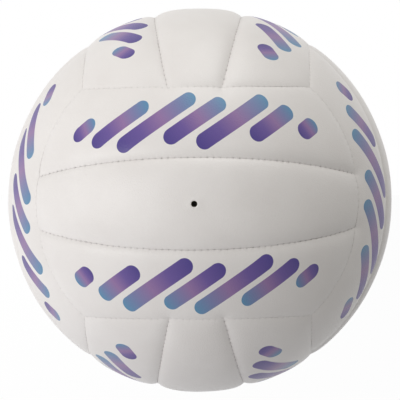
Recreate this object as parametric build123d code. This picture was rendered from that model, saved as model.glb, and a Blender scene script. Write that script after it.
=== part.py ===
from build123d import *
import math
import os

# A machine-sewn volleyball: eighteen padded cover panels, sewn edge to edge over a rubber bladder with a
# needle valve. Lengths are millimetres. The origin is the ball's centre, +Z is up and the valve faces -Y.
#
# The cover is six groups of three strips. The front group faces -Y, its strips run along X and lie one
# above another along Z. Every other group is the front group turned about a corner of the ball, then half
# round. A group's ends lie on the circle -y = RIM * r, and its long sides on the circles z = RIM * r and
# z = -RIM * r. The two seams inside it are great circles through the ends of the X axis, tilted by
# STRIP_TILT from the middle.

# The ball, and where its seams lie
BALL_RADIUS = 105.0
RIM = 1 / math.sqrt(3)
STRIP_TILT = 13.3
LONG_SEAM_HALF_TURN = 45

# The cover, from the outside in. A strip is made too long by a few degrees, and its ends are then cut.
STRIP_TRIM = 8
SKIN_THICKNESS = 0.8
GLUE_GAP = 0.15
FOAM_THICKNESS = 3.0
SEAM_GAP = 0.8
SEAM_ALLOWANCE_DEPTH = 4.6
SHOULDER_RADIUS = 2.4

# The sewing thread, which lies between two turned-in edges
THREAD_RADIUS = 0.28
THREAD_DEPTH = 3.4
THREAD_END_GAP = 1.6

# The bladder, and the cloth patch glued behind the valve hole
BLADDER_RADIUS = 100.2
BLADDER_THICKNESS = 0.7
PATCH_RADIUS = 14.0
PATCH_THICKNESS = 0.35

# The valve: heights are along -Y from the ball's centre
COVER_HOLE_RADIUS = 1.7
CORE_RADIUS = 1.5
CORE_CLEARANCE = 0.06
CORE_TOP = 103.7
CORE_LENGTH = 15.0
CORE_TIP_ROUND = 0.4
NEEDLE_RADIUS = 1.1
NEEDLE_DEPTH = 10.0
NEEDLE_LEAD_IN = 0.3
SLIT_WIDTH = 0.2
SLIT_LENGTH = 2.4
BOSS_RADIUS = 4.5
BOSS_TOP = 103.9
BOSS_HOLE_RADIUS = 4.8
FLANGE_RADIUS = 13.0
FLANGE_THICKNESS = 1.2
STEM_TIP_RADIUS = 3.2
STEM_TIP = 88.0

# Worked out from the sizes above
RIM_ANGLE = math.degrees(math.acos(RIM))
RIM_LATITUDE = 90 - RIM_ANGLE
STRIP_REACH = RIM_ANGLE + STRIP_TRIM
FOAM_TOP = BALL_RADIUS - SKIN_THICKNESS - GLUE_GAP
FOAM_BASE = FOAM_TOP - FOAM_THICKNESS
PATCH_TOP = FOAM_BASE - GLUE_GAP
FLANGE_TOP = BLADDER_RADIUS - BLADDER_THICKNESS - GLUE_GAP
THREAD_CENTRE = BALL_RADIUS - THREAD_DEPTH
THREAD_END_ANGLE = math.degrees(THREAD_END_GAP / THREAD_CENTRE)

# Each group: its turn about the ball's corner, the axis of its half turn, and its two outer strips' names
CORNER_AXIS = Axis((0, 0, 0), (1, 1, 1))
GROUPS = {
    "front": (0, None, "upper", "lower"),
    "back": (0, Axis.Z, "upper", "lower"),
    "bottom": (120, None, "right", "left"),
    "top": (120, Axis.X, "right", "left"),
    "left": (240, None, "back", "front"),
    "right": (240, Axis.Z, "front", "back"),
}


def turned(shape, group):
    """A shape of the front group, moved to another group."""
    turn, half_turn_axis = GROUPS[group][:2]
    moved = shape.rotate(CORNER_AXIS, turn)
    return moved.rotate(half_turn_axis, 180) if half_turn_axis else moved


def shell_band(inner, outer, low_tilt, high_tilt):
    """A piece of spherical shell between two great circles through the ends of the X axis."""
    outer_arc = CenterArc((0, 0), outer, -90 - STRIP_REACH, 2 * STRIP_REACH)
    inner_arc = CenterArc((0, 0), inner, -90 - STRIP_REACH, 2 * STRIP_REACH)
    left_end = Line(outer_arc @ 0, inner_arc @ 0)
    right_end = Line(outer_arc @ 1, inner_arc @ 1)
    section = make_face(outer_arc + inner_arc + left_end + right_end)
    upward = Axis((0, 0, 0), (-1, 0, 0))
    return revolve(section.rotate(upward, low_tilt), upward, high_tilt - low_tilt)


def cone_from_centre(direction, seam_direction, half_angle, height):
    """A solid cone with its point at the ball's centre."""
    base_radius = height * math.tan(math.radians(half_angle))
    cone = Cone(0, base_radius, height, align=(Align.CENTER, Align.CENTER, Align.MIN))
    return Plane((0, 0, 0), x_dir=seam_direction, z_dir=direction) * cone


def strip_block(strip, inner, outer, inset, shoulder):
    """A strip of the front group as a solid block, inset from the seams, with its outer edges rounded."""
    inset_angle = math.degrees(inset / BALL_RADIUS)
    past_ball = 1.2 * BALL_RADIUS
    ends = cone_from_centre((0, -1, 0), (0, 0, 1), RIM_ANGLE - inset_angle, past_ball)
    seam_slab = Box(2 * past_ball, 2 * past_ball, 2 * inset)
    upper_slab = seam_slab.rotate(Axis.X, -STRIP_TILT)
    if strip == "middle":
        block = shell_band(inner, outer, -STRIP_TILT, STRIP_TILT) & ends
        block = block - upper_slab - seam_slab.rotate(Axis.X, STRIP_TILT)
    else:
        long_side = cone_from_centre((0, 0, 1), (0, 1, 0), RIM_ANGLE + inset_angle, past_ball)
        block = shell_band(inner, outer, STRIP_TILT, RIM_ANGLE) & ends
        block = block - upper_slab - long_side
    block = block.solid()
    outer_edges = [
        edge
        for edge in block.edges()
        if all(abs((edge @ along).length - outer) < 1e-3 for along in (0, 0.5, 1))
    ]
    return block.fillet(shoulder, outer_edges)


def cover_panel(strip):
    """The synthetic leather of one strip: a shell whose edges roll over and turn in as the seam allowance."""
    outside = strip_block(
        strip, BALL_RADIUS - SEAM_ALLOWANCE_DEPTH, BALL_RADIUS, SEAM_GAP / 2, SHOULDER_RADIUS
    )
    hollow = strip_block(
        strip,
        BALL_RADIUS - 2 * SEAM_ALLOWANCE_DEPTH,
        BALL_RADIUS - SKIN_THICKNESS,
        SEAM_GAP / 2 + SKIN_THICKNESS,
        SHOULDER_RADIUS - SKIN_THICKNESS,
    )
    return outside - hollow


def foam_pad(strip):
    """The foam and backing cloth of one strip, which fills its cover panel."""
    side_gap = SEAM_GAP / 2 + SKIN_THICKNESS + GLUE_GAP
    return strip_block(
        strip, FOAM_BASE, FOAM_TOP, side_gap, SHOULDER_RADIUS - SKIN_THICKNESS - GLUE_GAP
    )


def valve_cylinder(radius, low, high):
    """A cylinder on the valve's axis, between two heights above the ball's centre."""
    cylinder = Cylinder(radius, high - low, align=(Align.CENTER, Align.CENTER, Align.MIN))
    return Plane((0, -low, 0), z_dir=(0, -1, 0)) * cylinder


def on_shell(radius, from_axis):
    """The point of a sphere about the ball's centre that lies so far from the valve's axis."""
    return (from_axis, -math.sqrt(radius**2 - from_axis**2))


def shell_arc(radius, from_axis, to_axis):
    """An arc of that sphere, from one distance to another off the valve's axis."""
    middle = on_shell(radius, (from_axis + to_axis) / 2)
    return ThreePointArc(on_shell(radius, from_axis), middle, on_shell(radius, to_axis))


def shell_disc(inner, outer, hole_radius, disc_radius):
    """A round disc of spherical shell about the valve's axis, with a hole at its middle."""
    top = shell_arc(outer, hole_radius, disc_radius)
    base = shell_arc(inner, hole_radius, disc_radius)
    section = make_face(top + base + Line(top @ 0, base @ 0) + Line(top @ 1, base @ 1))
    return revolve(section, Axis.Y, 360)


def bladder():
    """The rubber bladder, with the hole that its valve is moulded into."""
    wall = Sphere(BLADDER_RADIUS) - Sphere(BLADDER_RADIUS - BLADDER_THICKNESS)
    return wall - valve_cylinder(BOSS_HOLE_RADIUS, BLADDER_RADIUS / 2, BALL_RADIUS)


def valve_patch():
    """The cloth ring glued to the back of the valve's panel, round the boss."""
    return shell_disc(PATCH_TOP - PATCH_THICKNESS, PATCH_TOP, BOSS_HOLE_RADIUS, PATCH_RADIUS)


def valve_housing():
    """The rubber valve body: a boss behind the cover hole, a flange in the bladder, and a tapered stem."""
    bore = CORE_RADIUS + CORE_CLEARANCE
    flange_base = FLANGE_TOP - FLANGE_THICKNESS
    flange_top_arc = shell_arc(FLANGE_TOP, BOSS_RADIUS, FLANGE_RADIUS)
    flange_base_arc = shell_arc(flange_base, FLANGE_RADIUS, BOSS_RADIUS)
    outline = (
        Polyline((bore, -BOSS_TOP), (BOSS_RADIUS, -BOSS_TOP), flange_top_arc @ 0)
        + flange_top_arc
        + Line(flange_top_arc @ 1, flange_base_arc @ 0)
        + flange_base_arc
        + Polyline(flange_base_arc @ 1, (STEM_TIP_RADIUS, -STEM_TIP), (bore, -STEM_TIP), (bore, -BOSS_TOP))
    )
    return revolve(make_face(outline), Axis.Y, 360)


def valve_core():
    """The rubber plug that pulls out of the housing: a needle channel that ends in a slit."""
    tip = CORE_TOP - CORE_LENGTH
    channel_end = CORE_TOP - NEEDLE_DEPTH
    plug = valve_cylinder(CORE_RADIUS, tip, CORE_TOP)
    plug = fillet(plug.edges().sort_by(Axis.Y)[-1], CORE_TIP_ROUND)
    plug = plug - valve_cylinder(NEEDLE_RADIUS, channel_end, CORE_TOP)
    mouth = plug.edges().filter_by(GeomType.CIRCLE).group_by(Axis.Y)[0].sort_by(SortBy.RADIUS)[0]
    plug = chamfer(mouth, NEEDLE_LEAD_IN)
    slit_height = channel_end - tip
    slit = Pos(0, -(tip + channel_end) / 2, 0) * Box(SLIT_LENGTH, slit_height, SLIT_WIDTH)
    return plug - slit


def thread_arc(height, circle_radius, half_angle):
    """A length of thread on a level circle about the Z axis, centred over -Y."""
    section = Plane.XZ * Pos(circle_radius, height) * Circle(THREAD_RADIUS)
    return revolve(section, Axis.Z, 2 * half_angle).rotate(Axis.Z, -90 - half_angle)


def group_threads():
    """The front group's four seams: two between its strips, then its upper and lower long sides."""
    end_angle = math.degrees(math.acos(RIM / math.cos(math.radians(STRIP_TILT))))
    strip_seam = thread_arc(0, THREAD_CENTRE, end_angle - THREAD_END_ANGLE)
    side_circle = THREAD_CENTRE * math.cos(math.radians(RIM_LATITUDE))
    side_end = math.degrees(THREAD_END_GAP / side_circle)
    long_seam = thread_arc(THREAD_CENTRE * RIM, side_circle, LONG_SEAM_HALF_TURN - side_end)
    return [
        strip_seam.rotate(Axis.X, -STRIP_TILT),
        strip_seam.rotate(Axis.X, STRIP_TILT),
        long_seam,
        long_seam.rotate(Axis.Y, 180),
    ]


def cover_nodes():
    """Every panel's leather and foam, by node name."""
    nodes = {}
    for strip in ("middle", "outer"):
        leather = cover_panel(strip)
        foam = foam_pad(strip)
        for group, (_, _, upper_name, lower_name) in GROUPS.items():
            if strip == "middle":
                nodes[f"{group}_middle_panel"] = turned(leather, group)
                nodes[f"{group}_middle_foam"] = turned(foam, group)
                continue
            nodes[f"{group}_{upper_name}_panel"] = turned(leather, group)
            nodes[f"{group}_{upper_name}_foam"] = turned(foam, group)
            nodes[f"{group}_{lower_name}_panel"] = turned(leather.rotate(Axis.Y, 180), group)
            nodes[f"{group}_{lower_name}_foam"] = turned(foam.rotate(Axis.Y, 180), group)
    cover_hole = valve_cylinder(COVER_HOLE_RADIUS, BLADDER_RADIUS, BALL_RADIUS + SHOULDER_RADIUS)
    boss_hole = valve_cylinder(BOSS_HOLE_RADIUS, BLADDER_RADIUS, BALL_RADIUS)
    nodes["front_middle_panel"] = nodes["front_middle_panel"] - cover_hole
    nodes["front_middle_foam"] = nodes["front_middle_foam"] - boss_hole
    return nodes


def thread_nodes():
    """The thread of each group's seams, and the seam that is closed by hand once the bladder is in."""
    nodes = {}
    seams = group_threads()
    for group in GROUPS:
        lengths = [turned(seam, group) for seam in seams]
        if group == "back":
            nodes["closing_seam_thread"] = lengths.pop()
        nodes[f"{group}_seam_threads"] = Compound(children=lengths)
    return nodes


def valve_nodes():
    """The bladder and everything fixed to its valve."""
    return {
        "bladder": bladder(),
        "valve_patch": valve_patch(),
        "valve_housing": valve_housing(),
        "valve_core": valve_core(),
    }


def main():
    os.makedirs("parts", exist_ok=True)
    for node, shape in {**cover_nodes(), **thread_nodes(), **valve_nodes()}.items():
        export_step(shape, f"parts/{node}.step")


main()
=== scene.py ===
"""A sewn volleyball, in the order it is made: bladder, valve, foam pads, printed leather panels, stitches.

Lengths are metres. The origin is the ball's centre, +Z is up and the valve faces -Y.
"""

import bpy
import numpy as np
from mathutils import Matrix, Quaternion, Vector


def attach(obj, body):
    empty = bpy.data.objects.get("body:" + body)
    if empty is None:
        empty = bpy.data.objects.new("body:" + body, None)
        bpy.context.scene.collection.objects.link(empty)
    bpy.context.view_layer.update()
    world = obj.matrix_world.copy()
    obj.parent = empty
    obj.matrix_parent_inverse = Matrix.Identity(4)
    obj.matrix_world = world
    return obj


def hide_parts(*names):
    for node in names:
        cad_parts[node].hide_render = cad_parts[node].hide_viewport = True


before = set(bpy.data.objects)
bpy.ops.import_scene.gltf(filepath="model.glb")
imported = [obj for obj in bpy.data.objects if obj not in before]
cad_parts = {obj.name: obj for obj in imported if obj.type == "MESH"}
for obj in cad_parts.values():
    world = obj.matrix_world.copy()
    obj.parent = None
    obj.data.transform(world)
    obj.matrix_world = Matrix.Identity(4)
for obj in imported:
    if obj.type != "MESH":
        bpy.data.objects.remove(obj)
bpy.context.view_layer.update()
MM = 0.001


# The bladder is a round bag of black butyl rubber, moulded in one piece with a hole for its valve.
# Blown up inside the finished cover, it presses every pad outwards. Only its valve holds it in place.
BLADDER_OUTER = 100.2 * MM
BLADDER_INNER = 99.5 * MM
BLADDER_RINGS = 64
FAR_POLE_GAP = 0.02
BOSS_HOLE = 4.8 * MM
RING_POINTS = 64


def ring_points(from_axis, height):
    """Rings of points round the valve's axis, each at its distance from the axis and height along -Y."""
    turn = np.arange(RING_POINTS) * 2 * np.pi / RING_POINTS
    x = np.outer(from_axis, np.cos(turn))
    y = np.outer(-height, np.ones(RING_POINTS))
    z = np.outer(from_axis, np.sin(turn))
    return np.stack([x, y, z], -1).reshape(-1, 3)


def ring_quads(rings):
    """Quads from each closed ring of point numbers to the next, facing out as the rings widen or sink."""
    near, far = rings[:-1], rings[1:]
    return np.stack([np.roll(near, -1, 1), near, far, np.roll(far, -1, 1)], -1).reshape(-1, 4)


def new_piece(name, points, faces, material):
    """A smooth mesh at the origin from an array of points and a list of faces, fixed to the ball."""
    mesh = bpy.data.meshes.new(name)
    mesh.from_pydata(points.tolist(), [], faces)
    mesh.shade_smooth()
    mesh.materials.append(material)
    piece = bpy.data.objects.new(name, mesh)
    bpy.context.scene.collection.objects.link(piece)
    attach(piece, "ball")
    return piece


def add_node(tree, kind, inputs, **settings):
    """A shader node with its settings. Each input takes a value, or another node's output."""
    made = tree.nodes.new(kind)
    for name, value in settings.items():
        setattr(made, name, value)
    for socket, value in inputs.items():
        if isinstance(value, bpy.types.NodeSocket):
            tree.links.new(value, made.inputs[socket])
        else:
            made.inputs[socket].default_value = value
    return made


def new_material(name):
    """A material's node tree with an empty shader, and the place on the object that its patterns read."""
    material = bpy.data.materials.new(name)
    material.use_nodes = True
    tree = material.node_tree
    place = add_node(tree, "ShaderNodeTexCoord", {}).outputs["Object"]
    return material, tree, tree.nodes["Principled BSDF"], place


def ramp_of(tree, factor, stops):
    """A colour ramp through the given places and colours."""
    made = add_node(tree, "ShaderNodeValToRGB", {"Fac": factor})
    marks = made.color_ramp.elements
    for mark, (where, _) in zip(marks, (stops[0], stops[-1])):
        mark.position = where
    for where, _ in stops[1:-1]:
        marks.new(where)
    for mark, (_, colour) in zip(marks, stops):
        mark.color = (*colour, 1)
    return made.outputs["Color"]


def cover_shader(tree, shader, colour, relief, strength, depth):
    """Gives the shader its colour, and a bump from a relief that runs from 0 to 1."""
    bump = add_node(tree, "ShaderNodeBump", {"Height": relief, "Strength": strength, "Distance": depth})
    tree.links.new(colour, shader.inputs["Base Color"])
    tree.links.new(bump.outputs["Normal"], shader.inputs["Normal"])


def rubber(name, dark, light, roughness, grain):
    """Moulded rubber: a mottled grey, an even roughness and the fine matt grain of its mould."""
    material, tree, shader, place = new_material(name)
    cloud = add_node(tree, "ShaderNodeTexNoise", {"Vector": place, "Scale": 90.0, "Detail": 4.0})
    speck = add_node(tree, "ShaderNodeTexNoise", {"Vector": place, "Scale": 1 / grain, "Detail": 2.0})
    colour = ramp_of(tree, cloud.outputs["Fac"], [(0.3, dark), (0.75, light)])
    cover_shader(tree, shader, colour, speck.outputs["Fac"], 0.3, 0.05 * MM)
    shader.inputs["Roughness"].default_value = roughness
    return material


hole_edge = np.arcsin(BOSS_HOLE / BLADDER_OUTER)
fall = np.linspace(hole_edge, np.pi - FAR_POLE_GAP, BLADDER_RINGS)
rise = fall[::-1]
bladder_points = np.concatenate(
    [
        ring_points(BLADDER_OUTER * np.sin(fall), BLADDER_OUTER * np.cos(fall)),
        ring_points(BLADDER_INNER * np.sin(rise), BLADDER_INNER * np.cos(rise)),
    ]
)
bladder_rings = np.arange(len(bladder_points)).reshape(-1, RING_POINTS)
outside, inside = np.split(bladder_rings, 2)
bladder_faces = [
    *ring_quads(outside).tolist(),
    outside[-1, ::-1].tolist(),
    inside[0].tolist(),
    *ring_quads(inside).tolist(),
    *ring_quads(bladder_rings[[-1, 0]]).tolist(),
]
bladder_rubber = rubber("bladder_rubber", (0.035, 0.035, 0.037), (0.06, 0.06, 0.062), 0.62, 0.4 * MM)
bladder = new_piece("bladder_bag", bladder_points, bladder_faces, bladder_rubber)
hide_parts("bladder")


# The valve patch is a ring of plain woven cotton, cut 28 mm across with a hole for the valve's boss.
# It is glued to the back of the valve's panel, so that the leather doesn't tear at the hole.
PATCH_TOP = 100.9 * MM
PATCH_BASE = 100.55 * MM
PATCH_EDGE = 14.0 * MM
PATCH_RINGS = 10
YARN_PITCH = 0.7 * MM


def woven_cotton(name):
    """Plain weave: two sets of bands at right angles, each yarn over one and under the next, with painted
    shade where it dips under.
    """
    material, tree, shader, place = new_material(name)
    axes = add_node(tree, "ShaderNodeSeparateXYZ", {"Vector": place})
    waves = []
    for axis in ("X", "Z"):
        turns = {0: axes.outputs[axis], 1: 2 * np.pi / YARN_PITCH}
        angle = add_node(tree, "ShaderNodeMath", turns, operation="MULTIPLY")
        waves.append(add_node(tree, "ShaderNodeMath", {0: angle.outputs[0]}, operation="SINE").outputs[0])
    weave = add_node(tree, "ShaderNodeMath", {0: waves[0], 1: waves[1]}, operation="MULTIPLY").outputs[0]
    full_swing = {"Value": weave, "From Min": -1.0, "From Max": 1.0}
    share = add_node(tree, "ShaderNodeMapRange", full_swing).outputs[0]
    # The colour darkens with the weave's height, a painted shade in its dips
    colour = ramp_of(tree, share, [(0.0, (0.36, 0.34, 0.28)), (1.0, (0.56, 0.53, 0.46))])
    cover_shader(tree, shader, colour, share, 0.7, 0.1 * MM)
    shader.inputs["Roughness"].default_value = 0.9
    return material


patch_out = np.linspace(BOSS_HOLE, PATCH_EDGE, PATCH_RINGS)
patch_back = patch_out[::-1]
patch_points = np.concatenate(
    [
        ring_points(patch_out, np.sqrt(PATCH_TOP**2 - patch_out**2)),
        ring_points(patch_back, np.sqrt(PATCH_BASE**2 - patch_back**2)),
    ]
)
patch_rings = np.arange(len(patch_points)).reshape(-1, RING_POINTS)
patch_faces = ring_quads(np.concatenate([patch_rings, patch_rings[:1]])).tolist()
patch = new_piece("valve_patch_cloth", patch_points, patch_faces, woven_cotton("patch_cotton"))
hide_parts("valve_patch")


# The valve housing is one rubber moulding: a boss behind the hole, a flange cured to the inside of the
# bladder, and a tapered stem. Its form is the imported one, and it gets the bloom of unpainted rubber.
def coat(node, material):
    """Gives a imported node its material."""
    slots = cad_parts[node].data.materials
    slots.clear()
    slots.append(material)


coat("valve_housing", rubber("housing_rubber", (0.045, 0.045, 0.047), (0.085, 0.085, 0.088), 0.55, 0.25 * MM))


# The valve core is a soft dark olive plug with a needle channel that ends in a slit. It is pressed into
# the housing with a drop of oil, which leaves a faint shine, and draws out through the cover's hole.
core_rubber = rubber("core_rubber", (0.022, 0.020, 0.007), (0.042, 0.039, 0.015), 0.3, 0.3 * MM)
core_rubber.node_tree.nodes["Principled BSDF"].inputs["Specular IOR Level"].default_value = 0.2
coat("valve_core", core_rubber)


# A foam pad backs each panel: 3 mm of cream closed-cell foam, cut to the panel's shape and glued into it.
# The pads are in six groups of three strips, and the valve's pad has a hole for the boss. Seams draw the
# pads in, and the borders between groups do so less than the seams inside a group.
BALL_RADIUS = 105.0 * MM
RIM = 1 / np.sqrt(3)
STRIP_TILT = np.radians(13.3)
STRIP_WIDTH = {"middle": 48.7 * MM, "outer": 40.2 * MM}
STRIP_HALF_LENGTH = {"middle": 100.3 * MM, "outer": 98.2 * MM}
SHOULDER_DEPTH = 2.3 * MM
SHOULDER_FALL = 3.6 * MM
BORDER_SHARE = 0.5
BORDER_RADIUS = BALL_RADIUS * np.sqrt(1 - RIM**2)
# Where the seams inside the next group end on a group's long side, counted from the side's middle
JUNCTION = BORDER_RADIUS * np.arcsin(BALL_RADIUS / BORDER_RADIUS * RIM * np.tan(STRIP_TILT))
FOAM_TOP_DEPTH = 0.95 * MM
FOAM_BASE_DEPTH = 3.95 * MM
FOAM_SIDE_GAP = 1.4 * MM
PAD_ROWS, PAD_COLUMNS = 19, 71
PAD_HOLE_CELLS = 2
# Each group is the front one with its axes in another order and some of them reversed. The last two names
# are those of the strips that its upper and lower strips become.
GROUPS = {
    "front": ([0, 1, 2], (1, 1, 1), "upper", "lower"),
    "back": ([0, 1, 2], (-1, -1, 1), "upper", "lower"),
    "bottom": ([2, 0, 1], (1, 1, 1), "right", "left"),
    "top": ([2, 0, 1], (1, -1, -1), "right", "left"),
    "left": ([1, 2, 0], (1, 1, 1), "back", "front"),
    "right": ([1, 2, 0], (-1, -1, 1), "front", "back"),
}
UPRIGHT, UPSIDE_DOWN = (1, 1, 1), (-1, 1, -1)


def turned_to(group, points):
    """Points of the front group, moved to another group."""
    order, signs = GROUPS[group][:2]
    return points[:, order] * signs


def strips_of(group):
    """The group's three strips: the name of each, its shape, and the signs that turn the shape into place."""
    upper, lower = GROUPS[group][2:]
    return [("middle", "middle", UPRIGHT), (upper, "outer", UPRIGHT), (lower, "outer", UPSIDE_DOWN)]


def circle_end(tilt, level):
    """The angle along a plane's circle, as below, at which it meets the front group's end, -y = RIM."""
    return np.arccos((RIM + level * np.sin(tilt)) / np.cos(tilt) / np.sqrt(1 - level**2))


def circle_unit(tilt, level, angle):
    """Unit vectors at angles from the middle of the circle that a plane cuts from the unit sphere.

    The plane is level at first, at that height, and is then turned about X by the tilt.
    """
    circle = np.sqrt(1 - level**2)
    side, out = circle * np.sin(angle), circle * np.cos(angle)
    y = level * np.sin(tilt) - out * np.cos(tilt)
    z = level * np.cos(tilt) + out * np.sin(tilt)
    return np.stack([side, y, z], -1)


def strip_unit(shape, along, across):
    """Unit vectors over a strip of the front group.

    Each line along the strip is a plane's circle. The plane's tilt and level run evenly from the lower seam,
    across 0, to the upper one, across 1. A point's angle is its share, from -1 to 1, of the circle's end.
    """
    if shape == "middle":
        tilt, level = STRIP_TILT * (2 * across - 1), 0 * across
    else:
        tilt, level = STRIP_TILT * (1 - across), RIM * across
    return circle_unit(tilt, level, along * circle_end(tilt, level))


def strip_inset(shape, along, across, inset):
    """The same, with the strip made smaller by an inset from its seams."""
    margin = inset / STRIP_WIDTH[shape]
    shorter = along * (1 - inset / STRIP_HALF_LENGTH[shape])
    return strip_unit(shape, shorter, margin + across * (1 - 2 * margin))


def seam_distances(shape, unit):
    """How far points of a strip are from its lower seam, its upper seam and its ends, on the ball's surface.

    The distance from a circle on the sphere is the difference of two angles above the circle's plane.
    """
    _, y, z = np.moveaxis(unit, -1, 0)
    above_division = np.arcsin(z * np.cos(STRIP_TILT) + y * np.sin(STRIP_TILT))
    if shape == "middle":
        lower, upper = np.arcsin(z * np.cos(STRIP_TILT) - y * np.sin(STRIP_TILT)), -above_division
    else:
        lower, upper = above_division, np.arcsin(RIM) - np.arcsin(z)
    return BALL_RADIUS * np.stack([lower, upper, np.arcsin(-y) - np.arcsin(RIM)])


def seam_strength(shape):
    """How hard the lower seam, the upper seam and the ends draw the cover in, from 0 to 1."""
    upper = 1 if shape == "middle" else BORDER_SHARE
    return np.array([1, upper, BORDER_SHARE])[:, None, None]


def shoulder(shape, unit):
    """How far the padded surface has sunk: a depth at each seam, dying away exponentially from it.

    The long side of an outer strip also sinks at the two points where the next group's inner seams run into
    it. Where several seams act, what is left of the depth is the product of what each leaves.
    """
    distances = np.maximum(seam_distances(shape, unit), 0)
    shares = [*(seam_strength(shape) * np.exp(-distances / SHOULDER_FALL))]
    if shape == "outer":
        along = BORDER_RADIUS * np.arctan2(unit[..., 0], -unit[..., 1])
        for junction in (-JUNCTION, JUNCTION):
            shares.append(np.exp(-np.hypot(along - junction, distances[1]) / SHOULDER_FALL))
    return SHOULDER_DEPTH * (1 - np.prod(1 - np.array(shares), 0))


def outline_of(numbers):
    """The outer numbers of a grid, anticlockwise from its first corner."""
    return np.concatenate([numbers[0, :-1], numbers[:-1, -1], numbers[-1, :0:-1], numbers[:0:-1, 0]])


def grid_quads(numbers, gap=0):
    """Quads of a grid of point numbers, without the cells that lie within gap of its middle."""
    quads = np.stack([numbers[:-1, :-1], numbers[:-1, 1:], numbers[1:, 1:], numbers[1:, :-1]], -1)
    kept = np.ones(quads.shape[:2], bool)
    if gap:
        row, column = np.array(kept.shape) // 2
        kept[row - gap : row + gap, column - gap : column + gap] = False
    return quads[kept]


def middle_outline(numbers, gap):
    """The numbers round the gap that grid_quads leaves."""
    row, column = np.array(numbers.shape) // 2
    return outline_of(numbers[row - gap : row + gap + 1, column - gap : column + gap + 1])


def on_circle(points, radius, height_radius):
    """The points of a circle round the valve's axis, and of a sphere, that lie in the same directions."""
    turn = np.arctan2(points[:, 2], points[:, 0])
    height = np.sqrt(height_radius**2 - radius**2) * np.ones(len(turn))
    return np.stack([radius * np.cos(turn), -height, radius * np.sin(turn)], -1)


def foam_pad(shape, gap):
    """A pad as a closed grid, whose top follows the panel and whose base is a sphere.

    A gap, in cells from the grid's middle, becomes the round hole for the boss.
    """
    along, across = np.meshgrid(np.linspace(-1, 1, PAD_COLUMNS), np.linspace(0, 1, PAD_ROWS))
    unit = strip_inset(shape, along, across, FOAM_SIDE_GAP)
    sunk = FOAM_TOP_DEPTH + shoulder(shape, unit)
    top = (unit * (BALL_RADIUS - sunk)[..., None]).reshape(-1, 3)
    base = unit.reshape(-1, 3) * (BALL_RADIUS - FOAM_BASE_DEPTH)
    above = np.arange(len(top)).reshape(along.shape)
    below = above + len(top)
    faces = [grid_quads(above, gap), grid_quads(below, gap)[:, ::-1]]
    faces.append(ring_quads(np.stack([outline_of(above), outline_of(below)])))
    points = [top, base]
    if gap:
        rim_above, rim_below = middle_outline(above, gap), middle_outline(below, gap)
        points.append(on_circle(top[rim_above], BOSS_HOLE, BALL_RADIUS - FOAM_TOP_DEPTH))
        points.append(on_circle(top[rim_above], BOSS_HOLE, BALL_RADIUS - FOAM_BASE_DEPTH))
        edge_above = 2 * len(top) + np.arange(len(rim_above))
        edge_below = edge_above + len(rim_above)
        faces.append(ring_quads(np.stack([rim_below, edge_below, edge_above, rim_above])))
    return np.concatenate(points), np.concatenate(faces).tolist()


def cream_foam(name):
    """Closed-cell foam: small round cells, pale walls and shaded hollows."""
    material, tree, shader, place = new_material(name)
    cells = add_node(tree, "ShaderNodeTexVoronoi", {"Vector": place, "Scale": 1 / (0.9 * MM)})
    depth = cells.outputs["Distance"]
    colour = ramp_of(tree, depth, [(0.1, (0.55, 0.51, 0.42)), (0.6, (0.72, 0.68, 0.58))])
    cover_shader(tree, shader, colour, depth, 0.5, 0.1 * MM)
    shader.inputs["Roughness"].default_value = 0.95
    return material


pad_foam = cream_foam("pad_foam")
for group in GROUPS:
    for strip, shape, signs in strips_of(group):
        has_valve = group == "front" and strip == "middle"
        pad_points, pad_faces = foam_pad(shape, PAD_HOLE_CELLS if has_valve else 0)
        pad_points = turned_to(group, pad_points * signs)
        pad = new_piece(f"{group}_{strip}_pad", pad_points, pad_faces, pad_foam)
        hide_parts(f"{group}_{strip}_foam")


# Each cover panel is 0.8 mm of off-white synthetic leather, stretched over its pad and turned in at the
# seams. The thread draws the two lips of a seam down and apart at each stitch, hardest inside a group.
# Rounded bars are printed on the outer strips, in ink that runs from indigo through mauve to steel blue.
PANEL_ROWS, PANEL_COLUMNS = 97, 293
BACK_STEP = 4
LEATHER = 0.8 * MM
GRAIN = 0.7 * MM
SLACK = 0.05 * MM
LIP_GAP = 0.01 * MM
LIP_REACH = 2.0 * MM
LIP_STEPS = 5
STITCH_PITCH = 3.413 * MM
PRICK_DEPTH = 0.3 * MM
PRICK_FALL = 1.3 * MM
PRICK_OPENING = 0.08 * MM
OPENING_FALL = 0.8 * MM
# Dust and painted shade darken the lips at the stitches and the turned-in edges, where the prick holes and
# the seam's gap lie in shade: the most that they cover, from 0 to 1
LIP_DUST_AND_SHADE = 0.3
LIP_DUST_AND_SHADE_REACH = 0.5 * MM
EDGE_DUST_AND_SHADE = 0.8
VALVE_HOLE = 1.57 * MM
HOLE_CELLS = 8
# The turned-in edge, from the lip to the panel's back: how far each line is from the seam, and how deep
TURN_IN = [(0.30, 3.0), (0.40, 3.6), (0.40, 4.6), (1.20, 4.6), (1.20, 3.2)]
# The lip of the valve hole: how far each ring is from the hole's edge, and how far it stands above the ball
HOLE_LIP = [(1.4, 0.00), (0.8, 0.05), (0.4, 0.04), (0.14, -0.06), (0.03, -0.22), (0.0, -0.45), (0.0, -0.8)]
# The printed bars: middle along and across the strip, and half length. All slant alike.
BAR_SLANT = np.radians(34)
BAR_RADIUS = 4.5 * MM
BARS = MM * np.array(
    [(-66, 19, 3), (-43, 20, 14), (-21, 20, 21), (1, 20, 16), (23, 20, 21), (45, 20, 12), (67, 19, 3)]
)
INK_EDGE = 0.08 * MM
UNPRINTED = 20 * MM


def even_shares(length, count):
    """Shares of a strip from edge to edge: fine steps at each lip, and even ones between."""
    edge = LIP_REACH / length * (1 - np.cos(np.linspace(0, np.pi / 2, LIP_STEPS + 1)))
    between = np.linspace(edge[-1], 1 - edge[-1], count - 2 * LIP_STEPS)
    return np.concatenate([edge[:-1], between, 1 - edge[-2::-1]])


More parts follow.
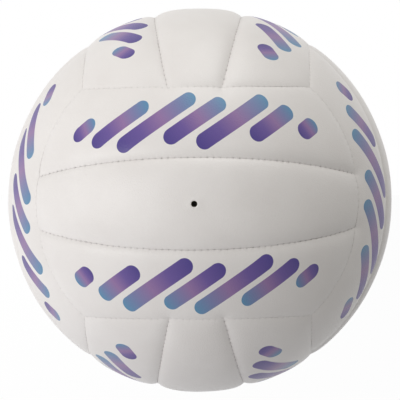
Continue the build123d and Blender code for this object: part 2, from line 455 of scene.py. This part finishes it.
def stitch_pull(shape, unit):
    """How hard a stitch of the lower seam, the upper seam and the ends pulls: most at it, 0 half way on.

    It is a power of a raised cosine of the way along each seam, counted from the seam's middle, times the
    seam's strength and a tightness from 0.36 to 1 that goes up and down unevenly from stitch to stitch.
    """
    x, y, z = np.moveaxis(unit, -1, 0)
    division = BALL_RADIUS * np.arcsin(x)
    border = BORDER_RADIUS * np.arctan2(x, -y)
    end = BORDER_RADIUS * np.arctan2(z, np.abs(x))
    places = np.stack([division, division if shape == "middle" else border, end])
    stitch = np.round(places / STITCH_PITCH)
    tightness = 0.68 + 0.32 * np.sin(2.4 * stitch + 1.9 * np.sin(0.7 * stitch))
    return seam_strength(shape) * tightness * (0.5 + 0.5 * np.cos(2 * np.pi * places / STITCH_PITCH)) ** 5


def slack(unit):
    """The cover's slight unevenness: three slow waves over the ball, a seventh of a millimetre at most."""
    x, y, z = np.moveaxis(unit, -1, 0)
    waves = np.sin(17 * x + 11 * z + 1) + np.sin(13 * y - 19 * z + 2) + np.sin(23 * z + 9 * x - 7 * y)
    return SLACK * waves


def print_of(shape, unit, distances):
    """Each point's distance from the nearest bar's edge, and how far along that bar it is.

    The distance is below 0 inside the bar, and the way along it runs from 0 to 1. A bar is all that lies
    within its radius of a slanting line.
    """
    if shape == "middle":
        return np.full(unit.shape[:-1], UNPRINTED), np.zeros(unit.shape[:-1])
    along = BALL_RADIUS * np.arctan2(unit[..., 0], -unit[..., 1])[..., None] - BARS[:, 0]
    up = distances[0][..., None] - BARS[:, 1]
    lengthwise = along * np.cos(BAR_SLANT) + up * np.sin(BAR_SLANT)
    sideways = up * np.cos(BAR_SLANT) - along * np.sin(BAR_SLANT)
    past_end = np.maximum(np.abs(lengthwise) - BARS[:, 2], 0)
    edges = np.hypot(past_end, sideways) - BAR_RADIUS
    nearest = edges.argmin(-1)[..., None]
    shades = 0.5 + 0.5 * lengthwise / (BARS[:, 2] + BAR_RADIUS)
    return np.take_along_axis(edges, nearest, -1)[..., 0], np.take_along_axis(shades, nearest, -1)[..., 0]


def to_coarse(fine, coarse):
    """Polygons from a ring of points to one with a quarter as many."""
    steps = [np.roll(fine, -step)[::BACK_STEP] for step in range(BACK_STEP, -1, -1)]
    return np.stack([*steps, coarse, np.roll(coarse, -1)], -1).tolist()


def leather_panel(shape, has_valve):
    """A panel as a closed shell, with the print's edge, the print's shade and the seams' dust and painted
    shade at each point.

    The face's depth below the ball's sphere is the pad's shoulder, a dimple at each stitch and the slack.
    Rings of points carry the edge round the lip, down the seam and up to the coarser back.
    """
    length, width = 2 * STRIP_HALF_LENGTH[shape], STRIP_WIDTH[shape]
    along, across = np.meshgrid(2 * even_shares(length, PANEL_COLUMNS) - 1, even_shares(width, PANEL_ROWS))
    flat = strip_inset(shape, along, across, LIP_GAP)
    away = np.maximum(seam_distances(shape, flat) - LIP_GAP, 0)
    pull = stitch_pull(shape, flat)
    opened = PRICK_OPENING * pull * np.exp(-away / OPENING_FALL)
    drawn_along = along * (1 - 2 * opened[2] / length)
    drawn_across = across + (opened[0] - opened[1]) / width
    unit = strip_inset(shape, drawn_along, drawn_across, LIP_GAP)
    dimple = (pull * np.exp(-away / PRICK_FALL)).max(0)
    sunk = shoulder(shape, flat) + PRICK_DEPTH * dimple + slack(unit)
    face = (unit * (BALL_RADIUS - sunk)[..., None]).reshape(-1, 3)
    bar_edge, bar_shade = (values.ravel() for values in print_of(shape, flat, away))
    # Dust and painted shade: the lips darken round each stitch, where its prick hole lies in shade
    dust_and_shade = (LIP_DUST_AND_SHADE * pull * np.exp(-((away / LIP_DUST_AND_SHADE_REACH) ** 2))).max(0).ravel()
    numbers = np.arange(len(face)).reshape(along.shape)
    lip = outline_of(numbers)
    rings = [lip]
    points, edges, shades, dusts_and_shades = [face], [bar_edge], [bar_shade], [dust_and_shade]
    for inset, depth in TURN_IN:
        ring = strip_inset(shape, along.ravel()[lip], across.ravel()[lip], inset * MM)
        rings.append(sum(map(len, points)) + np.arange(len(lip)))
        points.append(ring * (BALL_RADIUS - depth * MM))
        edges.append(bar_edge[lip])
        shades.append(bar_shade[lip])
        # The turned-in edges are painted dark, as shade in the gap between panels, with some dust
        dusts_and_shades.append(np.full(len(lip), EDGE_DUST_AND_SHADE))
    coarse = (slice(None, None, BACK_STEP), slice(None, None, BACK_STEP))
    back_unit = strip_inset(shape, along[coarse], across[coarse], FOAM_SIDE_GAP - 0.1 * MM)
    back_sunk = LEATHER + shoulder(shape, back_unit)
    back_numbers = sum(map(len, points)) + np.arange(back_sunk.size).reshape(back_sunk.shape)
    points.append((back_unit * (BALL_RADIUS - back_sunk)[..., None]).reshape(-1, 3))
    gap = HOLE_CELLS if has_valve else 0
    faces = grid_quads(numbers, gap).tolist()
    faces += ring_quads(np.stack(rings)).tolist()
    faces += to_coarse(rings[-1], outline_of(back_numbers))
    faces += grid_quads(back_numbers, gap // BACK_STEP)[:, ::-1].tolist()
    if has_valve:
        rim = middle_outline(numbers, gap)
        hole_rings = [rim]
        for reach, stand in HOLE_LIP:
            hole_rings.append(sum(map(len, points)) + np.arange(len(rim)))
            points.append(on_circle(face[rim], VALVE_HOLE + reach * MM, BALL_RADIUS + stand * MM))
        faces += ring_quads(np.stack(hole_rings))[:, ::-1].tolist()
        back_rim = middle_outline(back_numbers, gap // BACK_STEP)
        faces += [polygon[::-1] for polygon in to_coarse(hole_rings[-1], back_rim)]
    points = np.concatenate(points)
    plain = np.zeros(len(points) - sum(map(len, edges)))
    attributes = {
        "print_edge": np.concatenate([*edges, plain + UNPRINTED]),
        "print_shade": np.concatenate([*shades, plain]),
        "seam_dust_and_shade": np.concatenate([*dusts_and_shades, plain]),
    }
    return points, faces, attributes


def printed_leather(name):
    """Satin synthetic leather: pebbled grain, faint mottling, ink on the bars, and dust and painted shade in
    the seams.
    """
    material, tree, shader, place = new_material(name)
    read = {
        key: add_node(tree, "ShaderNodeAttribute", {}, attribute_name=key).outputs["Fac"]
        for key in ("print_edge", "print_shade", "seam_dust_and_shade")
    }
    clouds = {"Vector": place, "Scale": 38.0, "Detail": 3.0}
    mottle = add_node(tree, "ShaderNodeTexNoise", clouds).outputs["Fac"]
    pebbles = {"Vector": place, "Scale": 1 / GRAIN, "Smoothness": 0.3}
    pebble = add_node(tree, "ShaderNodeTexVoronoi", pebbles, feature="SMOOTH_F1").outputs["Distance"]
    white = ramp_of(tree, mottle, [(0.3, (0.790, 0.757, 0.748)), (0.7, (0.825, 0.795, 0.788))])
    inks = [
        (0.0, (0.055, 0.034, 0.230)),
        (0.3, (0.125, 0.075, 0.300)),
        (0.55, (0.270, 0.155, 0.350)),
        (0.8, (0.165, 0.200, 0.390)),
        (1.0, (0.085, 0.255, 0.430)),
    ]
    ink = ramp_of(tree, read["print_shade"], inks)
    edge = {"Value": read["print_edge"], "From Min": INK_EDGE, "From Max": -INK_EDGE}
    inked = add_node(tree, "ShaderNodeMapRange", edge).outputs[0]
    ink_on_white = {"Factor": inked, 6: white, 7: ink}
    printed = add_node(tree, "ShaderNodeMix", ink_on_white, data_type="RGBA").outputs[2]
    # The seams' dust and painted shade draw the colour towards a dark grey
    dust_and_shade_mix = {"Factor": read["seam_dust_and_shade"], 6: printed, 7: (0.10, 0.09, 0.08, 1)}
    colour = add_node(tree, "ShaderNodeMix", dust_and_shade_mix, data_type="RGBA").outputs[2]
    gloss = add_node(tree, "ShaderNodeMapRange", {"Value": mottle, "To Min": 0.33, "To Max": 0.43}).outputs[0]
    cover_shader(tree, shader, colour, pebble, 0.9, 0.1 * MM)
    tree.links.new(gloss, shader.inputs["Roughness"])
    shader.inputs["Specular IOR Level"].default_value = 0.5
    return material


cover_leather = printed_leather("cover_leather")
for group in GROUPS:
    for strip, shape, signs in strips_of(group):
        has_valve = group == "front" and strip == "middle"
        panel_points, panel_faces, panel_marks = leather_panel(shape, has_valve)
        panel_points = turned_to(group, panel_points * signs)
        panel = new_piece(f"{group}_{strip}_leather", panel_points, panel_faces, cover_leather)
        for key, values in panel_marks.items():
            mark = panel.data.attributes.new(key, "FLOAT", "POINT")
            mark.data.foreach_set("value", values.astype(np.float32))
        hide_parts(f"{group}_{strip}_panel")


# The seams are sewn from the back with twisted polyester thread, and the last one is closed by hand.
# The thread rises into the groove at each stitch and dives through both turned-in edges between them.
THREAD = 0.28 * MM
THREAD_DEPTH = 3.4 * MM
THREAD_RISE = 0.3 * MM
THREAD_END = 1.6 * MM
THREAD_SIDES = 8
RINGS_PER_STITCH = 10
# A seam's tilt and level, as of a plane that cuts its circle from the ball
STRIP_SEAM, LONG_SEAM = (STRIP_TILT, 0.0), (0.0, RIM)


def seam_thread(tilt, level):
    """A thread along a seam of the front group, as a tube round a waving line.

    The line follows a plane's circle. Its height is a cosine of the way along the seam, so that it is
    highest at each stitch, and the tube's rings stand square to it.
    """
    radius = BALL_RADIUS * np.sqrt(1 - level**2)
    end = circle_end(tilt, level) - THREAD_END / radius
    count = 2 * int(end * radius / STITCH_PITCH * RINGS_PER_STITCH) + 1
    angle = np.linspace(-end, end, count)
    unit = circle_unit(tilt, level, angle)
    wave = np.cos(2 * np.pi * angle * radius / STITCH_PITCH)
    line = unit * (BALL_RADIUS - THREAD_DEPTH + THREAD_RISE * (0.5 + 0.5 * wave))[:, None]
    ahead = np.gradient(line, axis=0)
    ahead /= np.linalg.norm(ahead, axis=1)[:, None]
    beside = np.cross(unit, ahead)
    beside /= np.linalg.norm(beside, axis=1)[:, None]
    above = np.cross(ahead, beside)
    turn = np.arange(THREAD_SIDES)[:, None] * 2 * np.pi / THREAD_SIDES
    tube = line[:, None] + THREAD * (np.cos(turn) * above[:, None] + np.sin(turn) * beside[:, None])
    rings = np.arange(count * THREAD_SIDES).reshape(count, THREAD_SIDES)
    faces = [*ring_quads(rings)[:, ::-1].tolist(), rings[0].tolist(), rings[-1, ::-1].tolist()]
    return tube.reshape(-1, 3), faces


def twisted_thread(name):
    """Off-white sewing thread, with the slanting ridges of its two plies and painted shade in the grooves
    between them.
    """
    material, tree, shader, place = new_material(name)
    plies = {"Vector": place, "Scale": 900.0, "Distortion": 2.0}
    fibre = add_node(tree, "ShaderNodeTexWave", plies, bands_direction="DIAGONAL").outputs["Fac"]
    # The colour darkens with the plies' wave, a painted shade in the grooves between them
    colour = ramp_of(tree, fibre, [(0.0, (0.40, 0.39, 0.37)), (1.0, (0.66, 0.65, 0.62))])
    cover_shader(tree, shader, colour, fibre, 0.5, 0.05 * MM)
    shader.inputs["Roughness"].default_value = 0.75
    return material


def add_threads(name, node, group, seams):
    """One piece from the threads of several seams of a group."""
    points, faces = [], []
    for (tilt, level), signs in seams:
        seam_points, seam_faces = seam_thread(tilt, level)
        start = sum(map(len, points))
        points.append(turned_to(group, seam_points * signs))
        faces += [[number + start for number in face] for face in seam_faces]
    thread = new_piece(name, np.concatenate(points), faces, seam_polyester)
    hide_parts(node)


seam_polyester = twisted_thread("seam_polyester")
for group in GROUPS:
    seams = [(STRIP_SEAM, UPRIGHT), (STRIP_SEAM, UPSIDE_DOWN), (LONG_SEAM, UPRIGHT)]
    if group == "back":
        add_threads("closing_stitches", "closing_seam_thread", group, [(LONG_SEAM, UPSIDE_DOWN)])
    else:
        seams.append((LONG_SEAM, UPSIDE_DOWN))
    add_threads(f"{group}_stitches", f"{group}_seam_threads", group, seams)


# The stage is a floor under the ball in a plain room, and rays from the camera see both as paper white.
# To the ball, the floor is a matt grey table whose left part glows: painted light from the floor itself,
# standing in for light through it from below. The room is a warm fill, and the floor keeps a little of the
# ball's shadow.
FLOOR_HALF = 6.0
GLOW_LEFT, GLOW_RIGHT = -0.4, 0.2
PAPER_SHARE = 0.975
WHITE = (1, 1, 1, 1)
floor_mesh = bpy.data.meshes.new("floor")
floor_corners = FLOOR_HALF * np.array([(-1, -1), (1, -1), (1, 1), (-1, 1)])
floor_mesh.from_pydata([(*corner, -BALL_RADIUS) for corner in floor_corners], [], [(0, 1, 2, 3)])
floor = bpy.data.objects.new("floor", floor_mesh)
bpy.context.scene.collection.objects.link(floor)


def seen_rays(tree):
    """1 for rays from the camera, or by way of a reflection or a clear piece, and 0 for light on its way."""
    path = add_node(tree, "ShaderNodeLightPath", {}).outputs
    seen = path["Is Camera Ray"]
    for also in ("Is Glossy Ray", "Is Transmission Ray"):
        seen = add_node(tree, "ShaderNodeMath", {0: seen, 1: path[also]}, operation="MAXIMUM").outputs[0]
    return seen


floor_paint = bpy.data.materials.new("floor_paint")
floor_paint.use_nodes = True
floor_tree = floor_paint.node_tree
floor_tree.nodes.remove(floor_tree.nodes["Principled BSDF"])
matt = add_node(floor_tree, "ShaderNodeBsdfDiffuse", {"Color": (0.2, 0.2, 0.2, 1)}).outputs[0]
floor_place = add_node(floor_tree, "ShaderNodeTexCoord", {}).outputs["Object"]
floor_x = add_node(floor_tree, "ShaderNodeSeparateXYZ", {"Vector": floor_place}).outputs["X"]
# Painted light: the floor's own glow, strongest at the left, lights the ball from below
glow = add_node(
    floor_tree,
    "ShaderNodeMapRange",
    {"Value": floor_x, "From Min": GLOW_LEFT, "From Max": GLOW_RIGHT, "To Min": 1.0, "To Max": 0.1},
    interpolation_type="SMOOTHSTEP",
).outputs[0]
from_below = add_node(floor_tree, "ShaderNodeEmission", {"Color": WHITE, "Strength": glow}).outputs[0]
lit_matt = add_node(floor_tree, "ShaderNodeAddShader", {0: matt, 1: from_below}).outputs[0]
paper = add_node(floor_tree, "ShaderNodeEmission", {"Color": WHITE, "Strength": 1.0}).outputs[0]
paper_part = {0: seen_rays(floor_tree), 1: PAPER_SHARE}
paper_share = add_node(floor_tree, "ShaderNodeMath", paper_part, operation="MULTIPLY").outputs[0]
floor_mix = add_node(floor_tree, "ShaderNodeMixShader", {0: paper_share, 1: lit_matt, 2: paper}).outputs[0]
floor_tree.links.new(floor_mix, floor_tree.nodes["Material Output"].inputs["Surface"])
floor_mesh.materials.append(floor_paint)

room = bpy.data.worlds.new("white_room")
bpy.context.scene.world = room
room.use_nodes = True
room_tree = room.node_tree
room_seen = seen_rays(room_tree)
room_light = add_node(room_tree, "ShaderNodeMapRange", {"Value": room_seen, "To Min": 0.47, "To Max": 1.0})
warm_or_white = {"Factor": room_seen, 6: (1, 0.985, 0.91, 1), 7: WHITE}
room_tint = add_node(room_tree, "ShaderNodeMix", warm_or_white, data_type="RGBA")
room_shade = room_tree.nodes["Background"]
room_tree.links.new(room_tint.outputs[2], room_shade.inputs["Color"])
room_tree.links.new(room_light.outputs[0], room_shade.inputs["Strength"])


# Two flat soft lamps light the ball. A wide low one stands at the camera's left, level with the ball, and
# a square one hangs above. Nothing lights the right side directly, so the ball shades off towards it.
def soft_lamp(name, place, width, height, power):
    """A flat lamp that faces the ball."""
    lamp = bpy.data.lights.new(name, "AREA")
    lamp.shape = "RECTANGLE"
    lamp.size = width
    lamp.size_y = height
    lamp.energy = power
    made = bpy.data.objects.new(name, lamp)
    made.location = place
    made.rotation_euler = (-Vector(place)).to_track_quat("-Z", "Y").to_euler()
    bpy.context.scene.collection.objects.link(made)


soft_lamp("left_lamp", (-1.68, -1.66, 0.13), 2.2, 0.42, 18.5)
soft_lamp("top_lamp", (0.35, -0.35, 2.15), 1.6, 1.6, 17.0)


# The camera stands thirteen ball radii away, a little to the right of the valve and above it, and leans
# by half a degree. Its long lens fills the picture with the ball.
CAMERA_AWAY = 13 * BALL_RADIUS
CAMERA_LENS = 223.7
azimuth, elevation, roll = np.radians([1.6, 1.1, -0.45])
back = Vector((np.sin(azimuth) * np.cos(elevation), -np.cos(azimuth) * np.cos(elevation), np.sin(elevation)))
camera = bpy.data.objects.new("camera", bpy.data.cameras.new("camera"))
camera.data.lens = CAMERA_LENS
camera.location = back * CAMERA_AWAY
facing = (-back).to_track_quat("-Z", "Y") @ Quaternion((0, 0, 1), roll)
camera.rotation_euler = facing.to_euler()
bpy.context.scene.collection.objects.link(camera)
bpy.context.scene.camera = camera
bpy.context.scene.view_settings.view_transform = "Standard"
